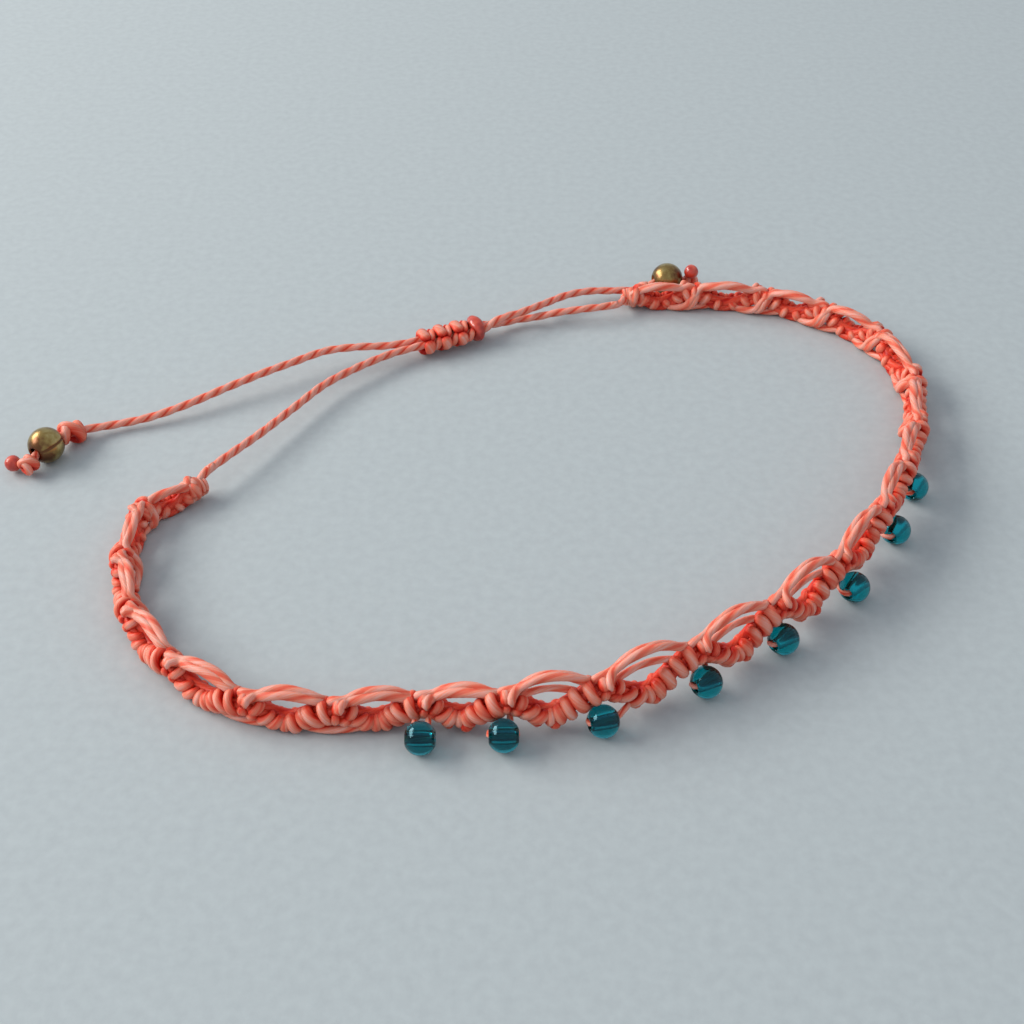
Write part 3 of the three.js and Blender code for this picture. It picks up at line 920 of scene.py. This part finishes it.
def lobe(u, start, end, slant, proud):
    """A turn of a hitch round the core between two angles."""
    middle, tangent, outward, upward = core_frame(u)
    tall, rising = climb_shares(u)
    radius = HITCH_CORD / 2 * differ("size") * (1 + TALL_SWELL * tall * rising)
    proud = proud + differ("proud") * MM
    slant = slant + (TALL_SLANT * tall * rising + differ("slant")) * MM
    a = CORE_HALF_THICKNESS - radius + proud
    b = hitch_reach(u) - radius + proud
    count = max(9, round((end - start) / HITCH_STEP))
    angle = np.radians(np.linspace(start, end, count) + differ("angle"))
    share = np.linspace(0, 1, count)
    ends = np.clip(np.minimum(share, 1 - share) / HITCH_END, 0, 1)
    inner = HITCH_SINK * (1 - ends) ** 2
    sideways = slant * np.sin(angle) * (1 - inner) + differ("sideways") * MM
    line = (
        middle
        + np.outer(a * np.cos(angle) * (1 - inner), outward)
        + np.outer(b * np.sin(angle) * (1 - inner), upward)
        + np.outer(sideways, tangent)
    )
    line[:, 2] = np.maximum(line[:, 2], HITCH_LOWEST * radius)
    size = HITCH_END_SIZE + (1 - HITCH_END_SIZE) * np.sin(ends * math.pi / 2)
    tube = cord_tube(
        line,
        radius * size,
        tangent,
        rng.uniform(0, TURN),
        groove=TIED_GROOVE,
        sides=12,
        crown=HITCH_CROWN,
        flat=HITCH_FLATNESS,
    )
    return fade_ends(tube, ends)


def fade_ends(tube, ends):
    """The same tube with painted shade on its ends, where they sink into a crease."""
    vertices, grain, painted_light, closed = tube
    return vertices, grain, painted_light * (END_SHADE + (1 - END_SHADE) * ends)[:, None], closed


def hitches(first, last):
    """The lobes of the wave between two pinches."""
    tubes = []
    for index in range(first, last):
        shown = HITCHES + INNER_HITCHES
        if float(lift_at(index + 0.5)[0]) > HANGING_LIFT:
            shown += HANGING_HITCHES
        for place, start, end, slant, proud in shown:
            u = index + place + differ("place")
            tubes.append(lobe(u, start, end, slant * MM, proud * MM))
    return tubes


def carriers():
    """The cords inside the wave, which the hitches are tied on; they show on the inner side."""
    u = np.linspace(CARRIER_END, UNITS - CARRIER_END, UNITS * 8)
    tubes = []
    for out, up, size in CARRIERS:
        line = smooth(band_points(u, out * MM, core_height(u) + up * MM), CARRIER_STEP)
        tube = cord_tube(line, CORD / 2 * size, UP, rng.uniform(0, TURN), sides=12)
        vertices, grain, painted_light, closed = tube
        # Painted shade over the whole carrier, which lies in shade inside the wave
        tubes.append((vertices, grain, CARRIER_SHADE * painted_light, closed))
    return tubes


def arch_rows(index, span, feet, top, out):
    """Rows of band coordinates along an arch over a unit, between its two feet."""
    first, last = span
    rows = []
    for share in np.linspace(*ARCH_CURVED, 7):
        bulge = math.sin(math.pi * share) ** ARCH_FULLNESS
        foot = feet[0] + (feet[1] - feet[0]) * share
        outside = out * bulge - ARCH_FOOT_INWARDS * (1 - bulge)
        z = foot + (top - (feet[0] + feet[1]) / 2) * bulge
        rows.append((index + first + (last - first) * share, outside, z))
    return rows


def rows_near(index, places, height, inwards=0.0, shift=0.0):
    """Rows of band coordinates from units past a pinch and millimetres outwards and upwards."""
    return [
        (index + past + shift, out * MM - inwards, height + up * MM) for past, out, up in places
    ]


def arch_finish(index, front, right):
    """Where a cord of an arch goes behind the next pinch and, if there is no bead, runs on."""
    if index + 1 == UNITS or index + 1 in BEAD_PINCHES:
        return rows_near(index, ARCH_END, right)
    under = float(lift_at(index + 1)[0])
    shift = 0.0 if front else BACK_SHIFT
    bend = right * BEND_SHARE + under * (1 - BEND_SHARE)
    rows = rows_near(index, ARCH_BEND, bend, shift=shift)
    rows += rows_near(index, ARCH_RUN_ON, under, shift=shift)
    return rows if front else rows + rows_near(index, BACK_RUN_ON, under)


def outer_arch(index):
    """Two cords side by side over a unit. Their left end comes over the front of the pinch and
    their right end goes down behind the next one, where it runs on as the lower strand."""
    height = ARCHES[index]
    tall = height > TALL_UNIT
    left, right = (float(core_height(index + k)[0]) for k in (0, 1))
    feet = (left + ARCH_FOOT, right + ARCH_FOOT)
    top = float(lift_at(index + 0.5)[0]) + height - ARCH_DEPTH
    inwards = ARCH_LEAN * LEANS[index]
    radius = CORD / 2 * (TALL_ARCH_CORD if tall else LOW_ARCH_CORD)
    tubes = []
    for front, rise, out in ARCH_CORDS:
        rise = rise * MM * (1 if tall else LOW_ARCH_RISE)
        start = rows_near(index, BACK_START, left)
        if front:
            start = rows_near(index, FRONT_START, left, inwards)
        rows = arch_rows(index, ARCH_SPAN, feet, top + rise, out * MM - inwards)
        finish = arch_finish(index, front, right)
        tubes.append(band_strand(start + rows + finish, radius=radius, sides=14))
    return tubes


def inner_arch(index):
    """The single cord that stands inside the arch of a tall unit."""
    height = ARCHES[index]
    base = float(lift_at(index + 0.5)[0])
    foot, top = base + INNER_FOOT * height, base + INNER_TOP * height
    rows = rows_near(index, INNER_START, foot)
    rows += arch_rows(index, INNER_SPAN, (foot, foot), top, INNER_ARCH_OUT)
    rows += rows_near(index, INNER_END, foot)
    return band_strand(rows, radius=CORD / 2 * INNER_ARCH_CORD, sides=14)


def lower_strand(pinch):
    """The cord under a pinch, from one low point to the next, close to the surface."""
    under, lift = UNDERS[pinch], float(lift_at(pinch)[0])
    rows = []
    for share in np.linspace(0, 1, 7):
        dip = math.sin(math.pi * share)
        z = lift + CORD / 2 + UNDER_LIFT * (1 - dip)
        rows.append((pinch + UNDER_REACH * (2 * share - 1), under * (1 + dip) / 2, z))
    return band_strand(rows)


def bead_place(pinch, past, out):
    u = pinch + past
    return band_points(u, out * MM, GLASS_BEAD / 2)[0], along_at(u)[0]


def bead_strand(pinch, past, out):
    """The cord under a pinch where it swings out and runs straight through a bead. It bends back
    behind the bead, apart from one that trails on to the right."""
    u = pinch + past
    flat = PINCHES[pinch:pinch + 2, :2]
    length = np.linalg.norm(flat[1] - flat[0])
    half = (GLASS_BEAD / 2 - BEAD_STRAND_INSIDE) / length
    beside = half + BEAD_STRAND_BEND / length
    low = GLASS_BEAD / 2 - 0.1 * MM
    back = max(out - 1.3, 0.4) * MM
    inside = float(core_height(u)[0]) - 0.4 * MM
    behind = [
        (0.9 * beside, (out - 0.5) * MM, low),
        (0.55 * beside, back, low),
        (0.5 * half, 0.0, inside),
    ]
    rows = [(u + share * half, out * MM, GLASS_BEAD / 2) for share in (-1, 0, 1)]
    left = [(u - away, place, z) for away, place, z in behind]
    right = [(u + away, place, z) for away, place, z in behind]
    if pinch in BEAD_STRAND_TRAIL:
        trail = BEAD_STRAND_TRAIL[pinch]
        end = float(core_height(u + trail)[0]) - 0.35 * MM
        right = [
            (u + half + 0.07, (out - 0.3) * MM, GLASS_BEAD / 2 + 0.2 * MM),
            (u + trail, 0.0, end),
        ]
    return band_strand(left[::-1] + rows + right, radius=BEAD_CORD / 2)


def cord_lead(line, u, inside):
    """A pull cord's last stretch, from its visible end into the band."""
    places = [band_points(u + shift, out * MM, z * MM)[0] for shift, out, z in inside]
    return pull_cord_tube(smooth(np.vstack([line[3], line[0], *places]), PULL_CORD_STEP))


def end_turns():
    """The last turns at both ends of the band, where the pull cords leave it."""
    tubes = []
    for u, away in ((0, -1), (UNITS, 1)):
        middle = band_points(u, 0, STUB_HEIGHT * MM)[0]
        axis = away * along_at(u)[0]
        for place, lean, swing, ring, size in END_TURNS:
            beyond = middle + place * MM * axis
            radius = CORD / 2 * size
            tubes.append(leaning_turn(beyond, axis, lean * MM, swing, ring * MM, radius))
        stub = middle + np.linspace(*STUB_SPAN, 14)[:, None] * MM * axis
        radii = rounded(stub, STUB_RADIUS * MM)
        tubes.append(cord_tube(stub, radii, UP, STUB_PHASE, groove=STUB_GROOVE))
    tubes.append(band_strand(rows_near(UNITS, RIGHT_END_WRAP, 0.0)))
    tubes.append(cord_lead(left_line, 0, LEFT_LEAD))
    tubes.append(cord_lead(right_line, UNITS, RIGHT_LEAD))
    return tubes


def band():
    arches, under = [], []
    for index in range(UNITS):
        arches += outer_arch(index)
        if ARCHES[index] > TALL_UNIT:
            arches.append(inner_arch(index))
    for pinch in range(1, UNITS):
        if pinch not in BEAD_PINCHES:
            under.append(lower_strand(pinch))
    for bead in GLASS_BEADS:
        under.append(bead_strand(*bead))
    pieces = [
        cord_piece("band_hitches_left", hitches(0, MIDDLE_PINCH)),
        cord_piece("band_hitches_right", hitches(MIDDLE_PINCH, UNITS)),
        cord_piece("band_carriers", carriers()),
        cord_piece("band_arches", arches),
        cord_piece("band_lower_strands", under),
        cord_piece("band_end_turns", end_turns()),
    ]
    for piece in pieces:
        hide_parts("macrame_band")


band()


# Beads

def turned(profile, middle, axis, steps, seam=None):
    """Vertices and faces of a closed ring profile (distance along the axis, radius) turned round
    an axis. A seam is a fine groove along the axis, at an angle in degrees. The last result says
    how deep in it each vertex lies, from 0 to 1."""
    side, up = across(axis)
    angle = TURN * np.arange(steps) / steps
    ring = np.cos(angle)[:, None] * side + np.sin(angle)[:, None] * up
    groove = np.zeros(steps)
    if seam is not None:
        apart = (angle - math.radians(seam) + math.pi) % TURN - math.pi
        groove = np.exp(-(apart / SEAM_WIDTH) ** 2)
    ring = ring * (1 - SEAM_DEPTH * groove)[:, None]
    vertices = [middle + a * axis + r * ring for a, r in profile]
    rings = len(profile)
    return np.vstack(vertices), ring_faces(rings, steps, closed=True), np.tile(groove, rings)


def bead_profile(diameter, hole, rounding, stretch=1.0):
    """A ball with a straight hole and rounded rims, as a closed ring profile."""
    radius, bore = diameter / 2, hole / 2
    reach = math.acos((bore + rounding) / radius)
    ball = np.linspace(-reach, reach, 26)
    profile = [(stretch * radius * math.sin(a), radius * math.cos(a)) for a in ball]
    rim = stretch * radius * math.sin(reach)
    corner = []
    for bend in np.radians(np.linspace(20, 90, 4)):
        inset = rounding * (1 - math.cos(bend))
        corner.append((rim - inset, bore + rounding * (1 - math.sin(bend))))
    inner = rim - rounding
    profile += corner
    profile += [(x, bore) for x in np.linspace(inner, -inner, 8)[1:-1]]
    profile += [(-x, r) for x, r in reversed(corner)]
    return profile


def glass_beads():
    for i, bead in enumerate(GLASS_BEADS):
        middle, along = bead_place(*bead)
        profile = bead_profile(GLASS_BEAD, GLASS_HOLE, GLASS_RIM, stretch=GLASS_STRETCH)
        vertices, faces, _ = turned(profile, middle, along, GLASS_STEPS)
        piece = mesh_piece(f"teal_glass_bead_{i + 1}", vertices, faces, GLASS)
        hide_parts(f"glass_bead_{i + 1}")


def bronze_bead(side, line):
    middle, along = place_back(line, BRONZE_BEAD_BACK)
    profile = bead_profile(BRONZE_BEAD, BRONZE_HOLE, BRONZE_RIM)
    vertices, faces, seam = turned(profile, middle, along, BRONZE_STEPS, seam=SEAM_ANGLE)
    layer = [("seam", "FLOAT", seam)]
    piece = mesh_piece(f"{side}_hollow_bronze_bead", vertices, faces, BRONZE, layer)
    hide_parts(f"{side}_bronze_bead")
    return piece


# Knots and melted ends

def free_end_knot(name, node, line, knot):
    """An overhand knot pulled tight: turns that lean across each other round the cord."""
    back, length, width, cord = knot
    middle, axis = place_back(line, back)
    ring = width / 2 - cord
    end = length / 2 - cord
    tubes = []
    for along, lean, swing, size, thick in KNOT_TURNS:
        place = middle + along * end * axis
        tubes.append(leaning_turn(place, axis, lean * end, swing, ring * size, cord * thick))
    piece = cord_piece(name, tubes)
    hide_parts(node)
    return piece


def drop(name, node, middle, axis, length, width, height):
    """A melted end: a slightly uneven smooth ball."""
    rows, steps = 18, 32
    dents, bumps = 0.035, 0.03
    side, up = across(axis)
    vertices = [middle - axis * length / 2]
    for i in range(1, rows):
        lat = math.pi * i / rows
        for k in range(steps):
            turn = TURN * k / steps
            uneven = 1 + dents * math.sin(3 * turn + 5 * lat) + bumps * math.sin(2 * turn - 3 * lat)
            vertices.append(
                middle
                - axis * (length / 2 * math.cos(lat))
                + side * (width / 2 * math.sin(lat) * math.cos(turn) * uneven)
                + up * (height / 2 * math.sin(lat) * math.sin(turn) * uneven)
            )
    vertices.append(middle + axis * length / 2)
    last = 1 + (rows - 2) * steps
    faces = []
    for k in range(steps):
        faces.append((0, 1 + k, 1 + (k + 1) % steps))
        faces.append((len(vertices) - 1, last + (k + 1) % steps, last + k))
    faces += [tuple(1 + i for i in f) for f in ring_faces(rows - 1, steps, closed=False)]
    piece = mesh_piece(name, vertices, faces, MELTED)
    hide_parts(node)
    return piece


def slider_turn(place, start, span, slant, radius, sunk):
    """One cushion-like turn round both pull cords, between two angles."""
    side = np.cross(UP, SLIDER_AXIS)
    share = np.linspace(0, 1, 16)
    angle = np.radians(start + span * share)
    ends = np.clip(np.minimum(share, 1 - share) / TUCK_LENGTH, 0, 1)
    tuck = TUCK_SIZE + (1 - TUCK_SIZE) * np.sin(ends * math.pi / 2)
    inner = TUCK_DEPTH + (1 - TUCK_DEPTH) * tuck
    a = SLIDER_WIDTH / 2 - SLIDER_EDGE - sunk
    b = SLIDER_HEIGHT / 2 - SLIDER_EDGE - sunk
    line = (
        SLIDER_MIDDLE
        + SLIDER_AXIS * place
        + np.outer(a * np.cos(angle) * inner, side)
        + np.outer(b * np.sin(angle) * inner, UP)
        + np.outer(slant * (2 * share - 1), SLIDER_AXIS)
    )
    tube = cord_tube(
        line,
        radius * tuck,
        -SLIDER_AXIS,
        rng.uniform(0, TURN),
        groove=SLIDER_GROOVE,
        crown=TIED_CROWN,
        flat=SLIDER_FLATNESS,
    )
    return fade_ends(tube, ends)


def slider():
    """Square knots round both pull cords: two rows of cushion-like turns on each face."""
    tubes = []
    pitch = SLIDER_LENGTH / (SQUARE_KNOTS + SLIDER_OVERHANG)
    for knot in range(SQUARE_KNOTS):
        for row in range(SLIDER_ROWS):
            place = (knot - (SQUARE_KNOTS - 1) / 2) * pitch + ROW_SHIFTS[row % 2] * MM
            facing = row * 360 / SLIDER_ROWS
            for ahead, start, span, *sizes in SLIDER_TURNS:
                slant, radius, sunk = (size * MM for size in sizes)
                at = place + ahead * pitch
                tubes.append(slider_turn(at, facing + start, span, slant, radius, sunk))
    piece = cord_piece("slider_square_knots", tubes)
    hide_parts("slider_knot")
    offset = (SLIDER_LENGTH + MELTED_BALL) / 2 + BALL_GAP
    ball = drop(
        "slider_melted_ball",
        "slider_melted_end",
        SLIDER_MIDDLE + SLIDER_AXIS * offset,
        SLIDER_AXIS,
        MELTED_BALL,
        BALL_WIDTH,
        BALL_HEIGHT,
    )
    return [piece, ball]


def free_end(side, line, bead_knot, tip):
    """A knot, a bronze bead, a last knot and a melted tip."""
    _, axis = place_back(line, TIP_BACK)
    return [
        free_end_knot(f"{side}_overhand_knot", f"{side}_bead_knot", line, bead_knot),
        bronze_bead(side, line),
        free_end_knot(f"{side}_last_knot", f"{side}_end_knot", line, END_KNOT),
        drop(f"{side}_melted_tip", f"{side}_melted_end", tip, axis, *(MELTED_TIP,) * 3),
    ]


glass_beads()
slider_pieces = slider()
left_end_pieces = free_end("left", right_line, LEFT_BEAD_KNOT, LEFT_TIP)
rear_end_pieces = free_end("rear", left_line, REAR_BEAD_KNOT, REAR_TIP)


def declare_cord(node):
    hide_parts(node)


declare_cord("left_pull_cord")
declare_cord("right_pull_cord")


# Floor and light

def add_floor():
    corners = [(FLOOR_REACH * x, FLOOR_REACH * y, 0) for x, y in ((-1, -1), (1, -1), (1, 1), (-1, 1))]
    mesh = bpy.data.meshes.new("floor")
    mesh.from_pydata(corners, [], [(0, 1, 2, 3)])
    mesh.materials.append(floor_material())
    floor = bpy.data.objects.new("floor", mesh)
    bpy.context.scene.collection.objects.link(floor)


def add_window():
    """An area light that faces the middle of the loop."""
    data = bpy.data.lights.new("window", "AREA")
    data.shape = "RECTANGLE"
    data.size, data.size_y = WINDOW_SIZE
    data.energy = WINDOW_POWER
    data.color = WINDOW_COLOUR
    light = bpy.data.objects.new("window", data)
    light.location = WINDOW_PLACE
    light.rotation_euler = (-Vector(WINDOW_PLACE)).to_track_quat("-Z", "Y").to_euler()
    bpy.context.scene.collection.objects.link(light)


def add_sky():
    world = bpy.data.worlds.new("sky")
    world.use_nodes = True
    background = world.node_tree.nodes["Background"]
    background.inputs["Color"].default_value = (*SKY_COLOUR, 1)
    background.inputs["Strength"].default_value = SKY_STRENGTH
    bpy.context.scene.world = world
    bpy.context.scene.view_settings.view_transform = "Standard"


add_floor()
add_window()
add_sky()
